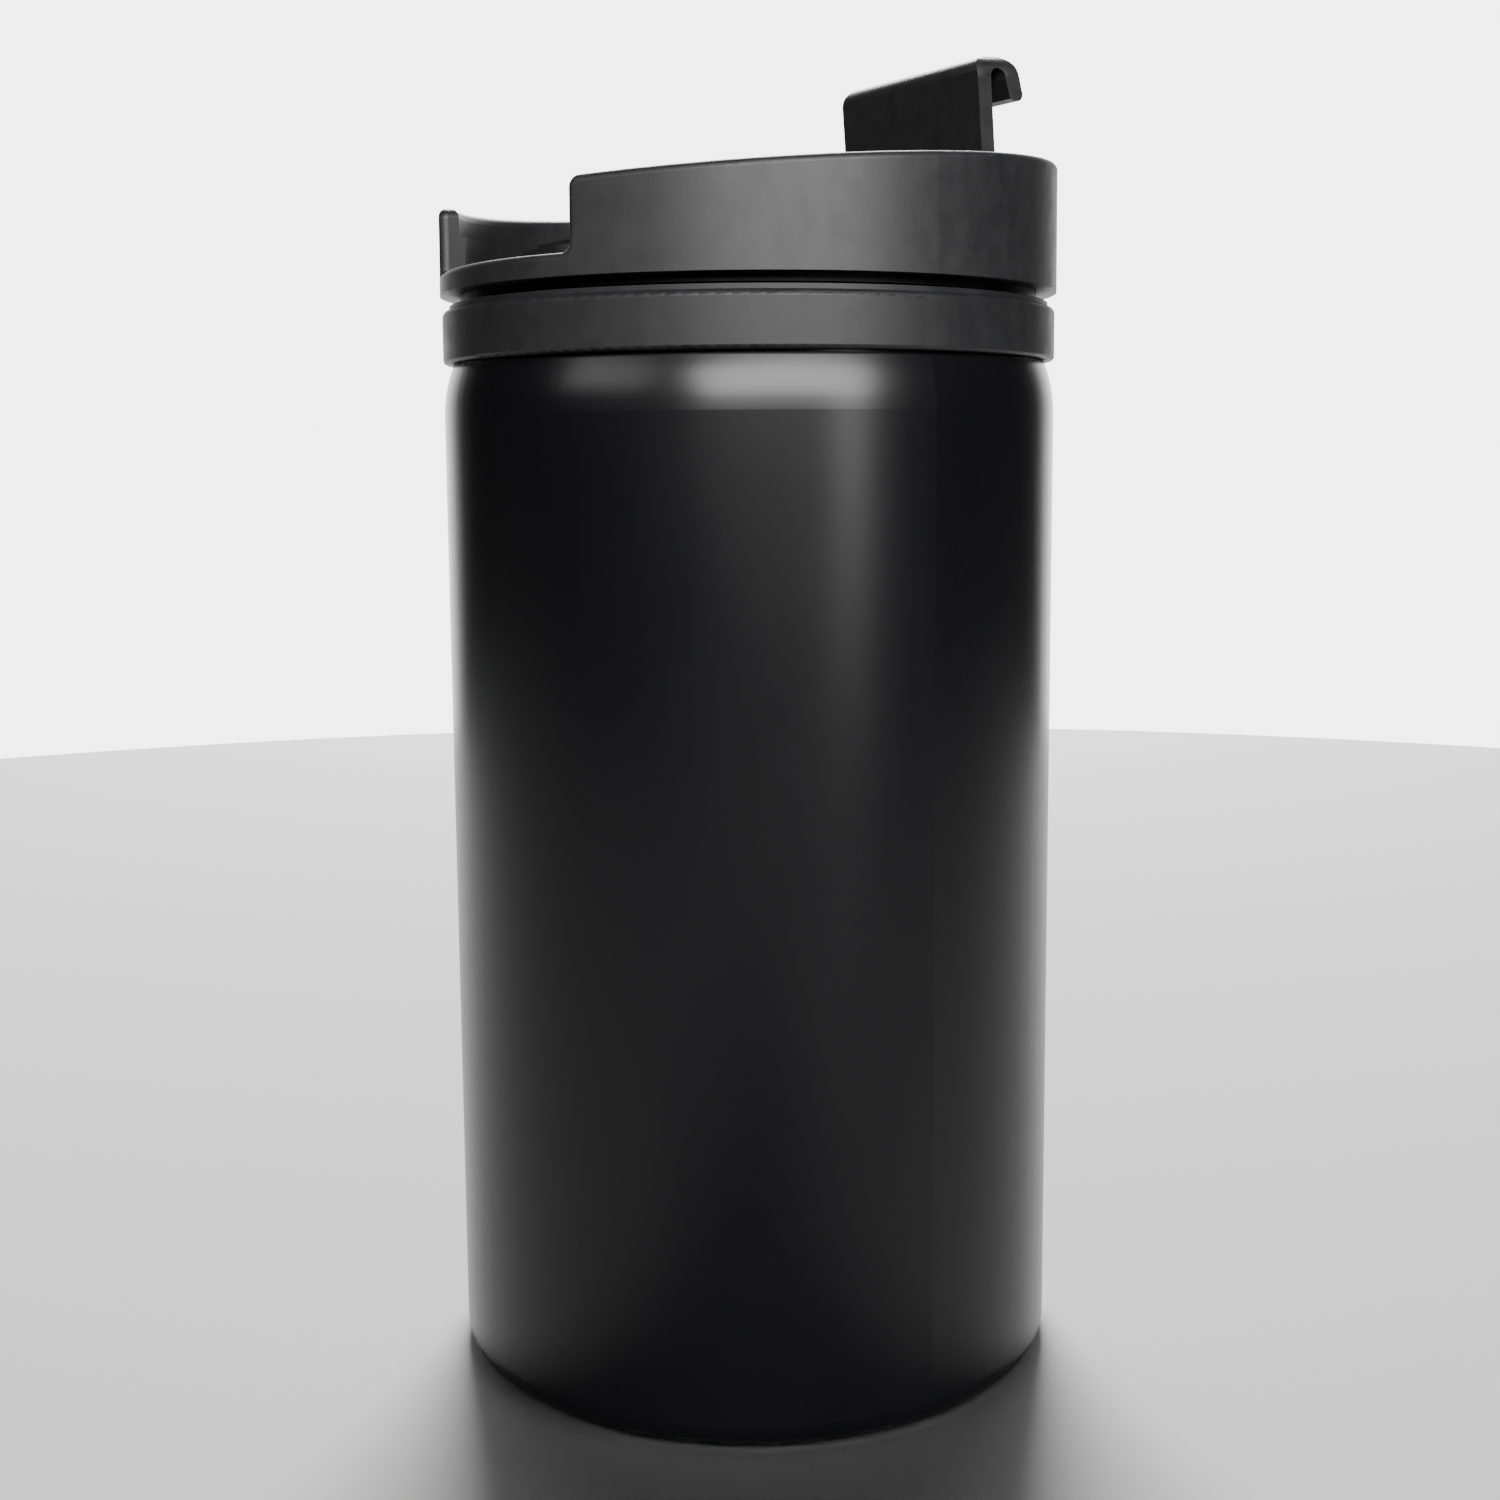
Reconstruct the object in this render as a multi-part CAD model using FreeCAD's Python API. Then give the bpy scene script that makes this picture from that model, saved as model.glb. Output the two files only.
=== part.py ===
import FreeCAD, Part
import math
import os

# Insulated travel mug with a screw lid and a fold-back flap.
# Frame: millimetres, +Z up, origin at the centre of the base, drinking side towards -Y.
# The flap is drawn folded right back, with its thumb hook standing up behind the middle of the lid.

# ---- cup ----
BODY_DIAMETER = 79.2
BASE_TAPER = 0.6
BODY_HEIGHT = 129.2
STEEL = 0.6
VACUUM_GAP = 2.0
BASE_CORNER = 3.5
SHOULDER_HEIGHT = 6.5
SHOULDER_INSET = 1.2
FOOT_WIDTH = 2.0
FOOT_FLANGE_HEIGHT = 2.6
BASE_PLATE_RISE = 1.8
DIMPLE_RADIUS = 6.0
DIMPLE_DEPTH = 1.0
SEAL_BEAD_RADIUS = 2.5
SEAL_BEAD_THICKNESS = 0.8
GETTER_RADIUS = 5.0
GETTER_THICKNESS = 1.2
GETTER_OFFSET = 18.0
LINER_FLOOR = 6.0
LINER_CORNER = 6.0
NECK_HEIGHT = 4.8

# ---- collar ----
COLLAR_PROUD = 0.05
COLLAR_HEIGHT = 6.7
COLLAR_SEAM = 0.25
COLLAR_BOTTOM_EDGE = 0.5
COLLAR_TOP_EDGE = 0.8
COLLAR_WEB = 1.1
COLLAR_FIT = 0.1
SPIGOT_INSET = 0.9
SPIGOT_WALL = 1.0
SPIGOT_HEIGHT = 0.6
COLLAR_SKIRT_WALL = 1.9
COLLAR_SKIRT_DEPTH = 10.0
COLLAR_SEAL_WIDTH = 1.6
COLLAR_SEAL_DEPTH = 0.9
COLLAR_SEAL_RISE = 1.6

# ---- screw thread between collar and plug ----
THREAD_PITCH = 4.0
THREAD_DEPTH = 0.95
THREAD_ROOT = 1.5
THREAD_CREST = 0.9
THREAD_CLEARANCE = 0.35
THREAD_TURNS = 1.0
THREAD_START = 2.2
THREAD_BURY = 0.4
THREAD_ANGLE = 40.0

# ---- lid ----
LID_PROUD = 0.3
LID_GAP = 1.35
LID_AXIS_HEIGHT = 13.9
LID_TILT = 4.3
RIM_WALL = 2.6
RIM_ROUND = 1.1
DISH_DEPTH = 3.6
DISH_FLOOR = 2.0
LEDGE = 0.7
DECK_HEIGHT = 2.7
BASIN_DEPTH = 8.4
BASIN_FLOOR = 1.6
BASIN_BACK = 13.0
NOTCH_WIDTH = 33.9
NOTCH_CORNER = 1.0
NOTCH_TOP_ROUND = 1.3
NOTCH_LIP_ROUND = 0.9
FLANGE_RECESS = 0.6
SIP_LENGTH = 13.0
SIP_WIDTH = 6.0
SIP_OFFSET = 26.0
SIP_BOSS_WALL = 1.5
VENT_RADIUS = 1.2
VENT_X = 0.0
VENT_Y = 17.2
VENT_WALL = 1.4
STOP_PAD = 5.0
STOP_PAD_X = 10.0
STOP_PAD_Y = 16.0

# ---- plug under the lid ----
PLUG_WALL = 2.2
PLUG_FLANGE = 1.6
PLUG_SKIRT_DEPTH = 13.5
FLANGE_STEP = 0.5
GASKET_GAP = 0.3
GASKET_FIT = 0.08

# ---- flap and its hinge ----
FLAP_THICKNESS = 2.8
FLAP_WIDTH = 30.2
FLAP_DISC_CLEARANCE = 0.5
FLAP_CORNER = 3.0
FLAP_REST_GAP = 0.3
HINGE_FORWARD = 7.3
HINGE_DROP = 1.3
BARREL_RADIUS = 1.9
BARREL_LENGTH = 24.0
BARREL_GAP = 0.3
LUG_LENGTH = 4.0
PIN_RADIUS = 1.0
PIN_FIT = 0.05
FLAP_WALL = 2.2
FLAP_WALL_CLEARANCE = 0.35
HOOK_DROP = 18.2
STOPPER_HEIGHT = 3.6
STOPPER_MARGIN = 1.2
STOPPER_SINK = 0.8

BIG = 200.0
TALL = 60.0

# ---- radii and heights that follow from the sizes above ----
body_radius = BODY_DIAMETER / 2
base_radius = body_radius - BASE_TAPER
liner_outer = body_radius - STEEL - VACUUM_GAP
liner_inner = liner_outer - STEEL
neck_outer = liner_outer + STEEL
neck_top = BODY_HEIGHT + NECK_HEIGHT
foot_outer = base_radius - BASE_CORNER
foot_inner = foot_outer - FOOT_WIDTH

collar_radius = body_radius + COLLAR_PROUD
collar_bottom = BODY_HEIGHT + COLLAR_SEAM
collar_top = collar_bottom + COLLAR_HEIGHT
web_bottom = neck_top + COLLAR_FIT
web_top = web_bottom + COLLAR_WEB
spigot_outer = collar_radius - SPIGOT_INSET
spigot_inner = spigot_outer - SPIGOT_WALL
spigot_top = collar_top + SPIGOT_HEIGHT
skirt_outer = liner_inner - COLLAR_FIT
skirt_inner = skirt_outer - COLLAR_SKIRT_WALL
skirt_bottom = web_top - COLLAR_SKIRT_DEPTH

lid_radius = body_radius + LID_PROUD
lid_bottom = spigot_top + LID_GAP
lid_axis_top = lid_bottom + LID_AXIS_HEIGHT
dish_radius = lid_radius - RIM_WALL
basin_radius = dish_radius - LEDGE
deck_top = lid_bottom + DECK_HEIGHT

flange_top = lid_bottom + FLANGE_RECESS
flange_bottom = flange_top - PLUG_FLANGE
plug_radius = skirt_inner - THREAD_DEPTH - THREAD_CLEARANCE
plug_bottom = flange_bottom - PLUG_SKIRT_DEPTH
flange_radius = dish_radius

# Along the sloping top: v runs to the back, w stands off the rim plane.
hinge_v = -HINGE_FORWARD
hinge_w = -HINGE_DROP
tilt = math.radians(LID_TILT)
lean_in = HOOK_DROP * math.sin(tilt)
wall_inner_v = -(lid_radius + FLAP_WALL_CLEARANCE + lean_in) / math.cos(tilt)
wall_outer_v = wall_inner_v - FLAP_WALL


def vec(x, y, z):
    return FreeCAD.Vector(x, y, z)


def cylinder(radius, bottom, top):
    return Part.makeCylinder(radius, top - bottom, vec(0, 0, bottom))


def tube(inner, outer, bottom, top):
    return cylinder(outer, bottom, top).cut(cylinder(inner, bottom - 1, top + 1))


def box(x0, x1, y0, y1, z0, z1):
    return Part.makeBox(x1 - x0, y1 - y0, z1 - z0, vec(x0, y0, z0))


def arc(start, middle, end):
    return Part.Arc(start, middle, end).toShape()


def corner(centre_r, centre_z, radius, from_deg, to_deg):
    """Quarter-round in the XZ half plane, from one angle about its centre to another."""
    points = []
    for angle in (from_deg, (from_deg + to_deg) / 2, to_deg):
        turn = math.radians(angle)
        points.append(vec(centre_r + radius * math.cos(turn), 0, centre_z + radius * math.sin(turn)))
    return arc(*points)


def outline(pieces):
    """Closed wire from points and edges in order: points are joined by straight lines."""
    edges = []
    last = None
    first = None
    for piece in pieces:
        if isinstance(piece, FreeCAD.Vector):
            start = end = piece
        else:
            start = piece.valueAt(piece.FirstParameter)
            end = piece.valueAt(piece.LastParameter)
        if last is not None and start.distanceToPoint(last) > 1e-6:
            edges.append(Part.LineSegment(last, start).toShape())
        if not isinstance(piece, FreeCAD.Vector):
            edges.append(piece)
        if first is None:
            first = start
        last = end
    if last.distanceToPoint(first) > 1e-6:
        edges.append(Part.LineSegment(last, first).toShape())
    return Part.Wire(edges)


def revolve(pieces):
    face = Part.Face(outline(pieces))
    return face.revolve(vec(0, 0, 0), vec(0, 0, 1), 360)


def on_slope(shape):
    """Carries a shape drawn on the rim plane (v, w as y, z) to its place on the sloping top."""
    placed = shape.copy()
    placed.translate(vec(0, 0, lid_axis_top))
    placed.rotate(vec(0, 0, lid_axis_top), vec(1, 0, 0), LID_TILT)
    return placed


def below_slope(offset):
    """Everything under a plane parallel to the rim, offset along its normal."""
    return on_slope(box(-BIG, BIG, -BIG, BIG, -BIG, offset))


def above_slope(offset):
    return on_slope(box(-BIG, BIG, -BIG, BIG, offset, BIG))


def obround(length, width, bottom, top, y):
    """Upright slot shape, long along X, centred at (0, y)."""
    half = (length - width) / 2
    middle = box(-half, half, y - width / 2, y + width / 2, bottom, top)
    ends = []
    for side in (-1, 1):
        ends.append(Part.makeCylinder(width / 2, top - bottom, vec(side * half, y, bottom)))
    return middle.multiFuse(ends).removeSplitter()


def x_cylinder(radius, x0, x1, y, z):
    return Part.makeCylinder(radius, x1 - x0, vec(x0, y, z), vec(1, 0, 0))


def helix_ridge(core_radius, outward, start_height, start_angle):
    """One-start trapezoid ridge standing off a cylinder, buried a little in its wall."""
    direction = 1 if outward else -1
    root = core_radius - direction * THREAD_BURY
    crest = core_radius + direction * THREAD_DEPTH
    path = Part.makeHelix(THREAD_PITCH, THREAD_PITCH * THREAD_TURNS, core_radius)
    corners = [
        vec(root, 0, -THREAD_ROOT / 2),
        vec(crest, 0, -THREAD_CREST / 2),
        vec(crest, 0, THREAD_CREST / 2),
        vec(root, 0, THREAD_ROOT / 2),
    ]
    profile = Part.makePolygon(corners + corners[:1])
    ridge = Part.Wire(path).makePipeShell([profile], True, True)
    ridge.rotate(vec(0, 0, 0), vec(0, 0, 1), start_angle)
    ridge.translate(vec(0, 0, start_height))
    return ridge


def rim_edges(shape, radius, low, high, tolerance=0.2):
    """Edges whose every sampled point lies on a cylinder about Z, between two heights."""
    found = []
    for edge in shape.Edges:
        points = edge.discretize(5)
        radii = [math.hypot(point.x, point.y) for point in points]
        heights = [point.z for point in points]
        on_cylinder = max(radii) < radius + tolerance and min(radii) > radius - tolerance
        if on_cylinder and min(heights) > low and max(heights) < high and edge.Length > 0.3:
            found.append(edge)
    return found


# ---------------------------------------------------------------- cup

def outer_shell():
    """Drawn steel wall: rolled foot, straight side, rounded shoulder and neck."""
    shoulder_start = BODY_HEIGHT - SHOULDER_HEIGHT
    radius = (SHOULDER_HEIGHT**2 + SHOULDER_INSET**2) / (2 * SHOULDER_INSET)
    sweep = math.degrees(math.asin(SHOULDER_HEIGHT / radius))
    centre = body_radius - radius
    inner_corner = BASE_CORNER - STEEL
    return revolve([
        vec(foot_inner, 0, 0),
        corner(foot_outer, BASE_CORNER, BASE_CORNER, 270, 360),
        corner(centre, shoulder_start, radius, 0, sweep),
        vec(neck_outer, 0, BODY_HEIGHT),
        vec(neck_outer, 0, neck_top),
        vec(neck_outer - STEEL, 0, neck_top),
        vec(neck_outer - STEEL, 0, BODY_HEIGHT - STEEL),
        corner(centre, shoulder_start, radius - STEEL, sweep * 0.94, 0),
        corner(foot_outer, BASE_CORNER, inner_corner, 360, 270),
        vec(foot_inner + STEEL, 0, STEEL),
        vec(foot_inner + STEEL, 0, FOOT_FLANGE_HEIGHT),
        vec(foot_inner, 0, FOOT_FLANGE_HEIGHT),
    ])


def inner_liner():
    """Steel cup that holds the drink, welded to the outer wall at the neck."""
    return revolve([
        vec(0, 0, LINER_FLOOR),
        corner(liner_outer - LINER_CORNER, LINER_FLOOR + LINER_CORNER, LINER_CORNER, 270, 360),
        vec(liner_outer, 0, neck_top),
        vec(liner_inner, 0, neck_top),
        corner(liner_outer - LINER_CORNER, LINER_FLOOR + LINER_CORNER, LINER_CORNER - STEEL, 360, 270),
        vec(0, 0, LINER_FLOOR + STEEL),
    ])


def base_plate():
    """Disc that closes the vacuum space, with the dimple where the air was drawn out."""
    top = BASE_PLATE_RISE + STEEL
    dimple_top = top + DIMPLE_DEPTH
    return revolve([
        vec(0, 0, dimple_top - STEEL),
        vec(DIMPLE_RADIUS, 0, dimple_top - STEEL),
        vec(DIMPLE_RADIUS + DIMPLE_DEPTH, 0, BASE_PLATE_RISE),
        vec(foot_inner, 0, BASE_PLATE_RISE),
        vec(foot_inner, 0, top),
        vec(DIMPLE_RADIUS + DIMPLE_DEPTH, 0, top),
        vec(DIMPLE_RADIUS, 0, dimple_top),
        vec(0, 0, dimple_top),
    ])


def seal_bead():
    """Solder bead over the evacuation point, under the dimple."""
    top = BASE_PLATE_RISE + DIMPLE_DEPTH
    return cylinder(SEAL_BEAD_RADIUS, top - SEAL_BEAD_THICKNESS, top)


def getter():
    """Gas-absorbing pellet in the vacuum space."""
    bottom = BASE_PLATE_RISE + STEEL
    return Part.makeCylinder(GETTER_RADIUS, GETTER_THICKNESS, vec(GETTER_OFFSET, 0, bottom))


def collar_seal_bottom():
    return skirt_bottom + COLLAR_SEAL_RISE


def collar():
    """Plastic ring clipped over the steel mouth, with the female thread inside its skirt."""
    low_edge = COLLAR_BOTTOM_EDGE
    top_edge = COLLAR_TOP_EDGE
    ring = revolve([
        vec(neck_outer + COLLAR_FIT, 0, collar_bottom),
        corner(collar_radius - low_edge, collar_bottom + low_edge, low_edge, 270, 360),
        corner(collar_radius - top_edge, collar_top - top_edge, top_edge, 0, 90),
        vec(spigot_outer, 0, collar_top),
        vec(spigot_outer, 0, spigot_top),
        vec(spigot_inner, 0, spigot_top),
        vec(spigot_inner, 0, web_top),
        vec(skirt_inner, 0, web_top),
        vec(skirt_inner, 0, skirt_bottom),
        vec(skirt_outer, 0, skirt_bottom),
        vec(skirt_outer, 0, web_bottom),
        vec(neck_outer + COLLAR_FIT, 0, web_bottom),
    ])
    seal_top = collar_seal_bottom() + COLLAR_SEAL_WIDTH
    groove = tube(skirt_outer - COLLAR_SEAL_DEPTH, skirt_outer + 1, collar_seal_bottom(), seal_top)
    thread = helix_ridge(skirt_inner, False, skirt_bottom + THREAD_START, THREAD_ANGLE)
    return ring.cut(groove).fuse(thread)


def collar_seal():
    """Silicone ring in the collar's groove, squeezed against the liner."""
    inner = skirt_outer - COLLAR_SEAL_DEPTH
    return tube(inner, liner_inner, collar_seal_bottom(), collar_seal_bottom() + COLLAR_SEAL_WIDTH)


# ---------------------------------------------------------------- lid

def hinge_lugs():
    """Two ears that hold the pin, standing on the dish floor."""
    ears = []
    for side in (-1, 1):
        near = side * (BARREL_LENGTH / 2 + BARREL_GAP)
        far = near + side * LUG_LENGTH
        low = min(near, far)
        high = max(near, far)
        round_top = x_cylinder(BARREL_RADIUS, low, high, hinge_v, hinge_w)
        foot = box(low, high, hinge_v - BARREL_RADIUS, hinge_v + BARREL_RADIUS,
                   -DISH_DEPTH - DISH_FLOOR / 2, hinge_w)
        ears.append(round_top.fuse(foot))
    bore = x_cylinder(PIN_RADIUS, -pin_half(), pin_half(), hinge_v, hinge_w)
    return [on_slope(ear.cut(bore)) for ear in ears]


def pin_half():
    return BARREL_LENGTH / 2 + BARREL_GAP + LUG_LENGTH


def stop_pads():
    """Low pads that the folded-back flap comes down on."""
    flap_underside = 2 * hinge_w
    pads = []
    for side in (-1, 1):
        middle = side * STOP_PAD_X
        pad = box(middle - STOP_PAD / 2, middle + STOP_PAD / 2, STOP_PAD_Y, STOP_PAD_Y + STOP_PAD,
                  -DISH_DEPTH - DISH_FLOOR / 2, flap_underside - FLAP_REST_GAP)
        pads.append(on_slope(pad))
    return pads


def sip_boss():
    """Spout through the basin floor, cut off parallel to the closed flap to seat its stopper."""
    seat = -FLAP_THICKNESS - STOPPER_HEIGHT - FLAP_REST_GAP
    boss = obround(SIP_LENGTH + 2 * SIP_BOSS_WALL, SIP_WIDTH + 2 * SIP_BOSS_WALL,
                   flange_top, lid_axis_top, -SIP_OFFSET)
    return boss.cut(above_slope(seat))


def vent_tube():
    """Small tube that carries the vent through the hollow of the drum."""
    length = lid_axis_top - flange_top
    wall = Part.makeCylinder(VENT_RADIUS + VENT_WALL, length, vec(VENT_X, -VENT_Y, flange_top))
    return wall.cut(above_slope(-BASIN_DEPTH))


def vent_bore():
    return Part.makeCylinder(VENT_RADIUS, lid_axis_top, vec(VENT_X, -VENT_Y, 0))


def sip_bore():
    return obround(SIP_LENGTH, SIP_WIDTH, 0, lid_axis_top, -SIP_OFFSET)


def basin_column():
    return cylinder(basin_radius, lid_bottom, lid_axis_top + TALL)


def notch_cutter():
    """Opening in the front wall, with round corners at its floor and round shoulders at the rim."""
    half = NOTCH_WIDTH / 2
    front = -BASIN_BACK * 2
    block = box(-half, half, -BIG, front, deck_top, lid_axis_top + TALL)
    floor_edges = []
    for edge in block.Edges:
        middle = edge.CenterOfMass
        if abs(middle.z - deck_top) < 0.01 and abs(abs(middle.x) - half) < 0.01:
            floor_edges.append(edge)
    block = block.makeFillet(NOTCH_CORNER, floor_edges)
    spandrels = []
    for side in (-1, 1):
        near = min(side * half, side * (half + NOTCH_TOP_ROUND))
        square = box(near, near + NOTCH_TOP_ROUND, -BIG, front, -NOTCH_TOP_ROUND, 1)
        centre = vec(side * (half + NOTCH_TOP_ROUND), -BIG, -NOTCH_TOP_ROUND)
        rounding = Part.makeCylinder(NOTCH_TOP_ROUND, BIG, centre, vec(0, 1, 0))
        spandrels.append(on_slope(square.cut(rounding)))
    return block.multiFuse(spandrels).cut(basin_column().common(below_slope(-BASIN_DEPTH)))


def lid_shell():
    """Sloping drum: rim, sunk dish, drinking basin behind the notch, hollow underneath."""
    drum = cylinder(lid_radius, lid_bottom, lid_axis_top + TALL).cut(above_slope(0))
    dish = cylinder(dish_radius, lid_bottom, lid_axis_top + TALL).cut(below_slope(-DISH_DEPTH))
    drum = drum.cut(dish)
    inner_edge = rim_edges(drum, dish_radius, lid_axis_top - 5, lid_axis_top + 5)
    drum = drum.makeFillet(RIM_ROUND, inner_edge)
    front = box(-BIG, BIG, -BIG, -BASIN_BACK, 0, BIG)
    basin = basin_column().cut(below_slope(-BASIN_DEPTH))
    drum = drum.cut(basin.common(front)).cut(notch_cutter())
    outer_edges = rim_edges(drum, lid_radius, deck_top - 0.1, lid_axis_top + 5)
    drum = drum.makeFillet(NOTCH_LIP_ROUND, outer_edges)
    under = cylinder(dish_radius, lid_bottom - 1, lid_axis_top + TALL)
    back = box(-BIG, BIG, -BASIN_BACK + BASIN_FLOOR, BIG, 0, BIG)
    high_hollow = under.common(below_slope(-DISH_DEPTH - DISH_FLOOR)).common(back)
    low_hollow = under.common(below_slope(-BASIN_DEPTH - BASIN_FLOOR))
    recess = cylinder(flange_radius, lid_bottom - 1, flange_top)
    drum = drum.cut(high_hollow).cut(low_hollow).cut(recess)
    drum = drum.multiFuse([sip_boss(), vent_tube()] + hinge_lugs() + stop_pads())
    return drum.cut(sip_bore()).cut(vent_bore())


def lid_plug():
    """Flange pressed into the drum, and the skirt with the male thread."""
    flange = cylinder(flange_radius, flange_bottom, flange_top)
    skirt = tube(plug_radius - PLUG_WALL, plug_radius, plug_bottom, flange_bottom + FLANGE_STEP)
    # The male ridge runs midway between two turns of the collar's ridge.
    start = skirt_bottom + THREAD_START - THREAD_PITCH / 2
    thread = helix_ridge(plug_radius, True, start, THREAD_ANGLE)
    return flange.fuse(skirt).fuse(thread).cut(sip_bore()).cut(vent_bore()).removeSplitter()


def lid_gasket():
    """Flat silicone ring pinched between the flange and the collar's web."""
    inner = plug_radius + GASKET_FIT
    return tube(inner, spigot_inner - COLLAR_WEB, web_top + GASKET_GAP, flange_bottom - GASKET_GAP)


def hinge_pin():
    return on_slope(x_cylinder(PIN_RADIUS, -pin_half(), pin_half(), hinge_v, hinge_w))


# ---------------------------------------------------------------- flap

def folded_back(shape):
    """Turns a piece drawn with the flap shut to its place with the flap folded right back."""
    turned = shape.copy()
    turned.rotate(vec(0, hinge_v, hinge_w), vec(1, 0, 0), -180)
    return on_slope(turned)


def hook_point(out, rise):
    """Point of the side view, shut: out from the wall's inner face, rise above the hook's lowest line."""
    return vec(0, wall_inner_v - out, rise - HOOK_DROP)


def hook_profile():
    """Side view of the front wall and thumb hook, shut: the wall hangs down, the hook curls out and up."""
    return outline([
        vec(0, wall_inner_v, 0),
        arc(hook_point(0, 2.2), hook_point(0.5, 1.0), hook_point(1.7, 0.4)),
        arc(hook_point(3.5, 0), hook_point(5.8, 0.55), hook_point(6.95, 2.5)),
        arc(hook_point(7.4, 4.8), hook_point(7.2, 5.85), hook_point(6.4, 6.1)),
        hook_point(5.3, 5.8),
        arc(hook_point(4.7, 3.3), hook_point(3.5, 1.85), hook_point(FLAP_WALL, 3.0)),
        vec(0, wall_outer_v, 0),
    ])


def flap():
    """Cover plate, front wall with thumb hook, and the hinge barrel."""
    half = FLAP_WIDTH / 2
    plate_back = hinge_v - BARREL_RADIUS - 2 * BARREL_GAP
    disc = cylinder(dish_radius - FLAP_DISC_CLEARANCE, -FLAP_THICKNESS, 0)
    plate = disc.common(box(-BIG, BIG, -BIG, plate_back, -BIG, BIG))
    tongue = box(-half, half, wall_outer_v, -BASIN_BACK, -FLAP_THICKNESS, 0)
    wall = Part.Face(hook_profile()).extrude(vec(FLAP_WIDTH, 0, 0))
    wall.translate(vec(-half, 0, 0))
    corners = box(-half, half, -BIG, 0, -HOOK_DROP, FLAP_CORNER)
    lower = []
    for edge in corners.Edges:
        if abs(edge.CenterOfMass.z + HOOK_DROP) < 0.01 and edge.Length > BIG / 2:
            lower.append(edge)
    wall = wall.common(corners.makeFillet(FLAP_CORNER, lower))
    barrel = x_cylinder(BARREL_RADIUS, -BARREL_LENGTH / 2, BARREL_LENGTH / 2, hinge_v, hinge_w)
    bridge = box(-BARREL_LENGTH / 2, BARREL_LENGTH / 2, plate_back - 1, hinge_v,
                 hinge_w - BARREL_RADIUS + 0.4, 0)
    body = plate.multiFuse([tongue, wall, barrel, bridge]).removeSplitter()
    bore = x_cylinder(PIN_RADIUS + PIN_FIT, -BIG, BIG, hinge_v, hinge_w)
    socket = obround(SIP_LENGTH + 2 * STOPPER_MARGIN, SIP_WIDTH + 2 * STOPPER_MARGIN,
                     -FLAP_THICKNESS - 1, -FLAP_THICKNESS + STOPPER_SINK, stopper_v())
    return folded_back(body.cut(bore).cut(socket))


def stopper_v():
    """Place of the stopper along the flap, right over the slot when shut."""
    seat_depth = FLAP_THICKNESS + STOPPER_HEIGHT
    return -SIP_OFFSET / math.cos(tilt) - seat_depth * math.tan(tilt)


def flap_stopper():
    """Silicone pad let into the flap, which closes the drinking slot."""
    pad = obround(SIP_LENGTH + 2 * STOPPER_MARGIN, SIP_WIDTH + 2 * STOPPER_MARGIN,
                  -FLAP_THICKNESS - STOPPER_HEIGHT, -FLAP_THICKNESS + STOPPER_SINK, stopper_v())
    return folded_back(pad)


PIECES = {
    "outer_shell": outer_shell,
    "inner_liner": inner_liner,
    "base_plate": base_plate,
    "seal_bead": seal_bead,
    "getter": getter,
    "collar": collar,
    "collar_seal": collar_seal,
    "lid_shell": lid_shell,
    "lid_plug": lid_plug,
    "lid_gasket": lid_gasket,
    "hinge_pin": hinge_pin,
    "flap": flap,
    "flap_stopper": flap_stopper,
}

os.makedirs("parts", exist_ok=True)
for name, build in PIECES.items():
    shape = build()
    box_size = shape.BoundBox
    print(name, "solids", len(shape.Solids), "valid", shape.isValid(), "volume", round(shape.Volume, 1),
          "z", round(box_size.ZMin, 2), round(box_size.ZMax, 2))
    shape.exportStep("parts/" + name + ".step")
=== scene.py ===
import math

import bpy
import numpy as np
from mathutils import Matrix

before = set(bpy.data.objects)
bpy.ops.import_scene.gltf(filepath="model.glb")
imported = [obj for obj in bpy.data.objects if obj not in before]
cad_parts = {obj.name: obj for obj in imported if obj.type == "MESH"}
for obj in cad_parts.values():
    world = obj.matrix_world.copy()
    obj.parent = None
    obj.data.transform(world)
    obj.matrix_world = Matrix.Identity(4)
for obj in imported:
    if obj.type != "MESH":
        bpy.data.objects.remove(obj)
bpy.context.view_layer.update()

MM = 0.001

# Noise mostly lies between these values, so finishes drift over this band.
NOISE_LOW = 0.3
NOISE_HIGH = 0.7

# A colour mix node keeps its colours behind these socket numbers.
COLOUR_A = 6
COLOUR_B = 7
COLOUR_OUT = 2


# ---------------------------------------------------------------- materials

def linear(hex_colour):
    """sRGB hex such as '#101010' to linear RGBA."""
    channels = [int(hex_colour[i:i + 2], 16) / 255 for i in (1, 3, 5)]
    flat = [c / 12.92 if c <= 0.04045 else ((c + 0.055) / 1.055) ** 2.4 for c in channels]
    return (*flat, 1.0)


def node(tree, kind, settings=None, **inputs):
    """Adds one shader node: settings are its properties, inputs are values or sockets by input name."""
    made = tree.nodes.new(kind)
    for name, value in (settings or {}).items():
        setattr(made, name, value)
    for name, value in inputs.items():
        socket = made.inputs[name.replace("_", " ")]
        if isinstance(value, bpy.types.NodeSocket):
            tree.links.new(value, socket)
        else:
            socket.default_value = value
    return made


def surface(name, **shader):
    """Returns a new material, its tree and its one Principled shader, whose sockets hold the constants."""
    material = bpy.data.materials.new(name)
    material.use_nodes = True
    tree = material.node_tree
    principled = tree.nodes["Principled BSDF"]
    for socket, value in shader.items():
        principled.inputs[socket.replace("_", " ")].default_value = value
    return material, tree, principled


def grain(tree, size_mm, detail, stretch=(1, 1, 1)):
    """Noise on object coordinates: bumps about size_mm across, drawn longer where stretch is larger."""
    place = node(tree, "ShaderNodeTexCoord")
    scale = [1 / (size_mm * MM * factor) for factor in stretch]
    mapping = node(tree, "ShaderNodeMapping", Vector=place.outputs["Object"], Scale=scale)
    return node(tree, "ShaderNodeTexNoise", Vector=mapping.outputs["Vector"], Scale=1.0, Detail=detail)


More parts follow.
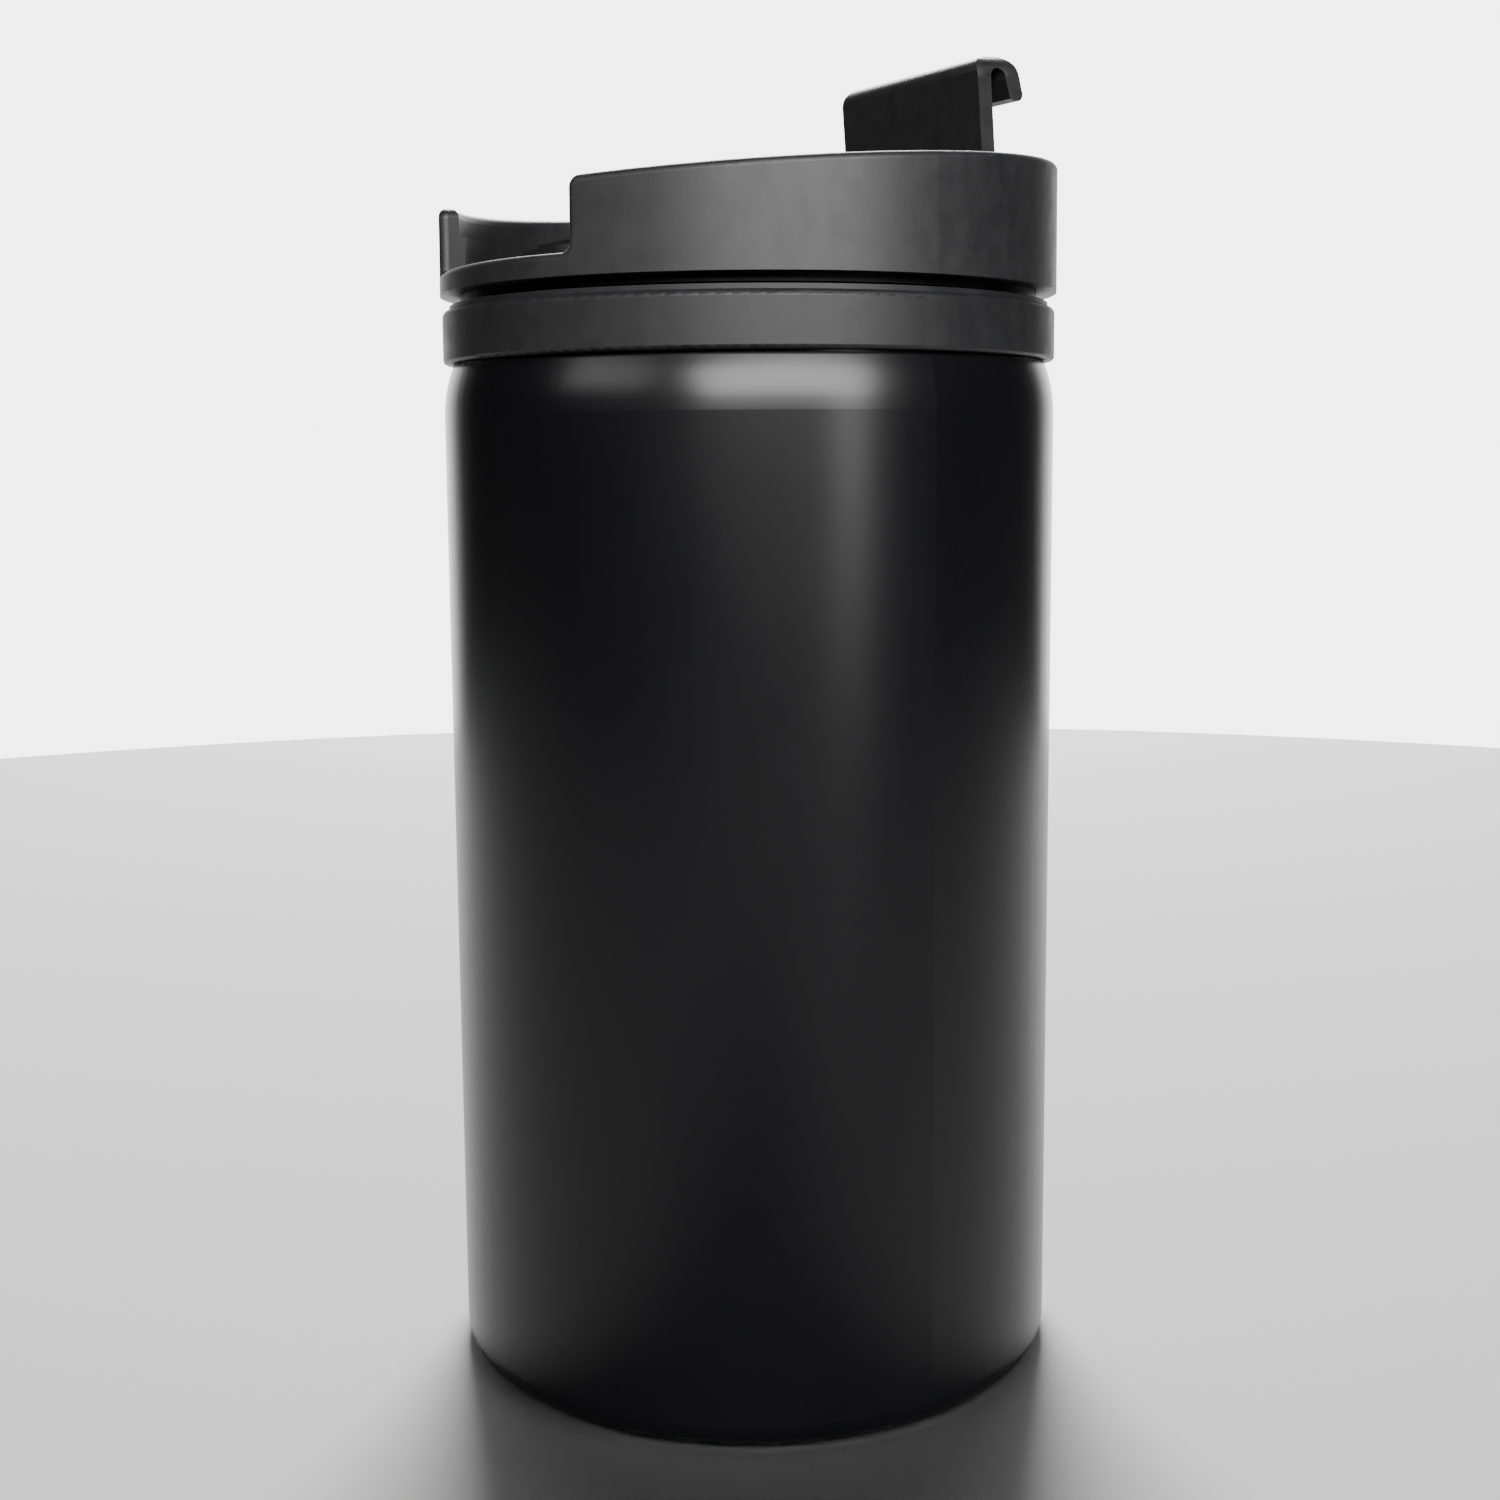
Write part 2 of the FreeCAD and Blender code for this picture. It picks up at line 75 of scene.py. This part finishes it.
def spread(tree, source, low, high):
    """Maps a noise factor to a narrow band between low and high."""
    ramp = node(tree, "ShaderNodeMapRange", Value=source, From_Min=NOISE_LOW, From_Max=NOISE_HIGH,
                To_Min=low, To_Max=high)
    return ramp.outputs["Result"]


def relief(tree, principled, height, depth_mm, strength):
    """Bumps the surface by a height pattern."""
    bump = node(tree, "ShaderNodeBump", Height=height, Distance=depth_mm * MM, Strength=strength)
    tree.links.new(bump.outputs["Normal"], principled.inputs["Normal"])


def tone(tree, principled, source, dark, light):
    """Base colour drifts between two close shades."""
    mix = node(tree, "ShaderNodeMix", {"data_type": "RGBA"})
    tree.links.new(source, mix.inputs["Factor"])
    mix.inputs[COLOUR_A].default_value = linear(dark)
    mix.inputs[COLOUR_B].default_value = linear(light)
    tree.links.new(mix.outputs[COLOUR_OUT], principled.inputs["Base Color"])


def powder_coat():
    """Satin black polyester powder coat, baked on steel: deep black, wide soft gloss, faint orange peel."""
    material, tree, principled = surface("satin_black_powder_coat", IOR=1.5, Specular_IOR_Level=0.19)
    peel = grain(tree, size_mm=0.9, detail=1.0)
    handling = grain(tree, size_mm=22.0, stretch=(1, 1, 2.5), detail=4.0)
    tone(tree, principled, handling.outputs["Fac"], dark="#030304", light="#060607")
    roughness = spread(tree, handling.outputs["Fac"], low=0.26, high=0.30)
    tree.links.new(roughness, principled.inputs["Roughness"])
    relief(tree, principled, peel.outputs["Fac"], depth_mm=0.02, strength=0.10)
    return material


def moulded_polypropylene(name, gloss, dark, light):
    """Black polypropylene from a spark-eroded mould: charcoal, fine matt grain, faint rub marks, bloom."""
    material, tree, principled = surface(name, IOR=1.49, Specular_IOR_Level=gloss)
    spark = grain(tree, size_mm=0.35, detail=3.0)
    rub = grain(tree, size_mm=2.4, stretch=(1, 1, 1.2), detail=5.0)
    tone(tree, principled, rub.outputs["Fac"], dark, light)
    roughness = spread(tree, rub.outputs["Fac"], low=0.45, high=0.53)
    tree.links.new(roughness, principled.inputs["Roughness"])
    relief(tree, principled, spark.outputs["Fac"], depth_mm=0.03, strength=0.25)
    return material


def spun_stainless():
    """18/8 stainless steel, drawn and polished on a lathe: bright, with fine rings round the axis."""
    material, tree, principled = surface("spun_stainless_steel", Metallic=1.0)
    rings = grain(tree, size_mm=0.5, stretch=(60, 60, 1), detail=3.0)
    tone(tree, principled, rings.outputs["Fac"], dark="#a9a9a6", light="#c9c9c6")
    roughness = spread(tree, rings.outputs["Fac"], low=0.20, high=0.34)
    tree.links.new(roughness, principled.inputs["Roughness"])
    relief(tree, principled, rings.outputs["Fac"], depth_mm=0.01, strength=0.15)
    return material


def food_silicone():
    """Food-grade silicone rubber, compression moulded: soft charcoal with a dusty sheen."""
    material, tree, principled = surface("food_grade_silicone", IOR=1.41, Sheen_Weight=0.06,
                                         Sheen_Roughness=0.5)
    dust = grain(tree, size_mm=1.2, detail=5.0)
    tone(tree, principled, dust.outputs["Fac"], dark="#1a1a1b", light="#242425")
    roughness = spread(tree, dust.outputs["Fac"], low=0.55, high=0.70)
    tree.links.new(roughness, principled.inputs["Roughness"])
    relief(tree, principled, dust.outputs["Fac"], depth_mm=0.03, strength=0.2)
    return material


def tin_solder():
    """Tin-silver solder, melted and frozen: pale, lumpy and half bright."""
    material, tree, principled = surface("tin_silver_solder", Metallic=1.0, Roughness=0.35)
    lumps = grain(tree, size_mm=1.1, detail=2.0)
    tone(tree, principled, lumps.outputs["Fac"], dark="#a2a3a5", light="#c4c5c8")
    relief(tree, principled, lumps.outputs["Fac"], depth_mm=0.1, strength=0.5)
    return material


def sintered_getter():
    """Sintered zirconium alloy pellet, pressed powder: dark grey and dry."""
    material, tree, principled = surface("sintered_zirconium_alloy", Metallic=1.0, Roughness=0.7)
    powder = grain(tree, size_mm=0.4, detail=4.0)
    tone(tree, principled, powder.outputs["Fac"], dark="#4a4a4c", light="#646466")
    relief(tree, principled, powder.outputs["Fac"], depth_mm=0.05, strength=0.5)
    return material


def cover(node_name, material):
    """Gives a CAD node one material all over."""
    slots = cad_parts[node_name].data.materials
    for index in range(len(slots)):
        slots[index] = material
    if not len(slots):
        slots.append(material)


coat = powder_coat()
plastic = moulded_polypropylene("moulded_black_polypropylene", gloss=0.25,
                                dark="#0b0b0c", light="#141415")
# A darker, duller copy of the lid plastic for the plug: painted shade, which keeps the gap under the drum
# black.
plug_painted_shade_plastic = moulded_polypropylene("painted_shade_black_polypropylene", gloss=0.06,
                                     dark="#040404", light="#070707")
ring_plastic = moulded_polypropylene("smooth_black_polypropylene", gloss=0.20,
                                     dark="#0b0b0c", light="#121213")
steel = spun_stainless()
silicone = food_silicone()

FINISHES = {
    "outer_shell": coat,
    "inner_liner": steel,
    "base_plate": steel,
    "seal_bead": tin_solder(),
    "getter": sintered_getter(),
    "collar": ring_plastic,
    "collar_seal": silicone,
    "lid_shell": plastic,
    "lid_plug": plug_painted_shade_plastic,
    "lid_gasket": silicone,
    "hinge_pin": steel,
    "flap": plastic,
    "flap_stopper": silicone,
}
for name, finish in FINISHES.items():
    cover(name, finish)


WELD_GAP_MM = 0.001
EDGE_ROUND_MM = 0.3
EDGE_STEPS = 3
SHARP_FROM_DEG = 40


def break_edges(node_name):
    """Rounds the sharp edges of a CAD node: welds its loose triangles, then bevels every sharp edge."""
    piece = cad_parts[node_name]
    weld = piece.modifiers.new("weld", "WELD")
    weld.merge_threshold = WELD_GAP_MM * MM
    bevel = piece.modifiers.new("edges", "BEVEL")
    bevel.width = EDGE_ROUND_MM * MM
    bevel.segments = EDGE_STEPS
    bevel.limit_method = "ANGLE"
    bevel.angle_limit = math.radians(SHARP_FROM_DEG)


break_edges("flap")


# ---------------------------------------------------------------- camera, light and floor

# The camera's bearing from the drinking side, distance from the mug's axis, height, and tilts in radians.
VIEW_AZIMUTH = math.radians(57.0)
VIEW_DISTANCE = 0.2631
VIEW_HEIGHT = 0.11735
VIEW_PITCH = 0.098
VIEW_ROLL = -0.007
SENSOR_WIDTH_MM = 36.0
LENS_MM = 47.64
SHIFT_X = -0.0005
SHIFT_Y = -0.0649
CLIP_START = 0.01

camera_data = bpy.data.cameras.new("camera")
camera_data.sensor_width = SENSOR_WIDTH_MM
camera_data.lens = LENS_MM
camera_data.shift_x = SHIFT_X
camera_data.shift_y = SHIFT_Y
camera_data.clip_start = CLIP_START
camera = bpy.data.objects.new("camera", camera_data)
bpy.context.scene.collection.objects.link(camera)
place = Matrix.Translation((VIEW_DISTANCE * math.sin(VIEW_AZIMUTH),
                            -VIEW_DISTANCE * math.cos(VIEW_AZIMUTH),
                            VIEW_HEIGHT))
turn = Matrix.Rotation(VIEW_AZIMUTH, 4, "Z") @ Matrix.Rotation(math.pi / 2 - VIEW_PITCH, 4, "X")
camera.matrix_world = place @ turn @ Matrix.Rotation(VIEW_ROLL, 4, "Z")
bpy.context.scene.camera = camera


MUG_MIDDLE = (0, 0, 0.09)


def softbox(name, azimuth, elevation, distance, width, height, power):
    """Rectangular area light at a bearing round the mug (0 is in front, 90 is to the right), facing it."""
    bearing = math.radians(azimuth)
    lift = math.radians(elevation)
    outward = np.array([math.sin(bearing) * math.cos(lift),
                        -math.cos(bearing) * math.cos(lift),
                        math.sin(lift)])
    data = bpy.data.lights.new(name, "AREA")
    data.shape = "RECTANGLE"
    data.size = width
    data.size_y = height
    data.energy = power
    lamp = bpy.data.objects.new(name, data)
    spot = np.array(MUG_MIDDLE) + distance * outward
    facing = Matrix.Rotation(bearing, 4, "Z") @ Matrix.Rotation(math.pi / 2 - lift, 4, "X")
    lamp.matrix_world = Matrix.Translation(spot) @ facing
    bpy.context.scene.collection.objects.link(lamp)
    return lamp


# Each light: name, azimuth and elevation in degrees, distance, width and height in metres, watts.
MUG_SOFTBOXES = [
    ("ceiling_softbox", 70, 26, 0.9, 1.0, 0.40, 44.0),
    ("far_softbox", 3, 27, 0.9, 0.5, 0.30, 3.2),
    ("window_strip", 93, 8, 0.9, 0.18, 0.30, 2.2),
]
BACK_LIGHT = ("back_light", 237, 42, 1.3, 0.5, 0.5, 30.0)

mug_lights = [softbox(*row) for row in MUG_SOFTBOXES]
softbox(*BACK_LIGHT)

# A white tent behind the mug and a dim room in front of it. The lens itself sees plain white all round.
# The two meet between these cosines of the angle from the lens.
TENT_COSINE = -0.98
ROOM_COSINE = -0.72
TENT_STRENGTH = 5.0
ROOM_STRENGTH = 0.03

world = bpy.data.worlds.new("white_tent")
bpy.context.scene.world = world
world.use_nodes = True
sky = world.node_tree
direction = node(sky, "ShaderNodeTexCoord")
towards_lens = node(sky, "ShaderNodeVectorMath", {"operation": "DOT_PRODUCT"})
sky.links.new(direction.outputs["Generated"], towards_lens.inputs[0])
towards_lens.inputs[1].default_value = (math.sin(VIEW_AZIMUTH), -math.cos(VIEW_AZIMUTH), 0.0)
tent = node(sky, "ShaderNodeMapRange", {"interpolation_type": "SMOOTHSTEP"},
            Value=towards_lens.outputs["Value"], From_Min=TENT_COSINE, From_Max=ROOM_COSINE,
            To_Min=TENT_STRENGTH, To_Max=ROOM_STRENGTH)
path = node(sky, "ShaderNodeLightPath")
seen = node(sky, "ShaderNodeMix", Factor=path.outputs["Is Camera Ray"], A=tent.outputs["Result"],
            B=TENT_STRENGTH)
background = sky.nodes["Background"]
background.inputs["Color"].default_value = (1.0, 1.0, 1.0, 1.0)
sky.links.new(seen.outputs["Result"], background.inputs["Strength"])

FLOOR_RADIUS = 0.6
FLOOR_RINGS = 12
FLOOR_STEPS = 96


def disc(name, radius, rings, steps):
    """Flat round sheet at height 0: point (i, j) is radius * i / rings out, turned 2 pi j / steps."""
    share = np.arange(1, rings + 1)[:, None] / rings
    angle = 2 * np.pi * np.arange(steps)[None, :] / steps
    out = radius * share
    grid = np.stack([out * np.cos(angle), out * np.sin(angle), np.zeros((rings, steps))], axis=2)
    points = np.concatenate([np.zeros((1, 3)), grid.reshape(-1, 3)])
    index = 1 + np.arange(rings * steps).reshape(rings, steps)
    after = np.roll(index, -1, axis=1)
    quads = np.stack([index[:-1], index[1:], after[1:], after[:-1]], axis=2).reshape(-1, 4)
    fan = np.stack([np.zeros(steps, int), index[0], after[0]], axis=1)
    mesh = bpy.data.meshes.new(name)
    mesh.from_pydata(points.tolist(), [], quads.tolist() + fan.tolist())
    made = bpy.data.objects.new(name, mesh)
    bpy.context.scene.collection.objects.link(made)
    return made


floor = disc("pale_floor", FLOOR_RADIUS, FLOOR_RINGS, FLOOR_STEPS)
# Matt white card, the plain sheet under the mug.
paper, paper_tree, paper_shader = surface("white_backdrop_paper", Roughness=0.9)
paper_shader.inputs["Base Color"].default_value = linear("#f4f4f4")
floor.data.materials.append(paper)

# The softboxes light the mug alone, so the paper in front of it stays dim in its gloss.
kept_dim = bpy.data.collections.new("kept_dim")
kept_dim.objects.link(floor)
kept_dim.collection_objects[0].light_linking.link_state = "EXCLUDE"
for lamp in mug_lights:
    lamp.light_linking.receiver_collection = kept_dim
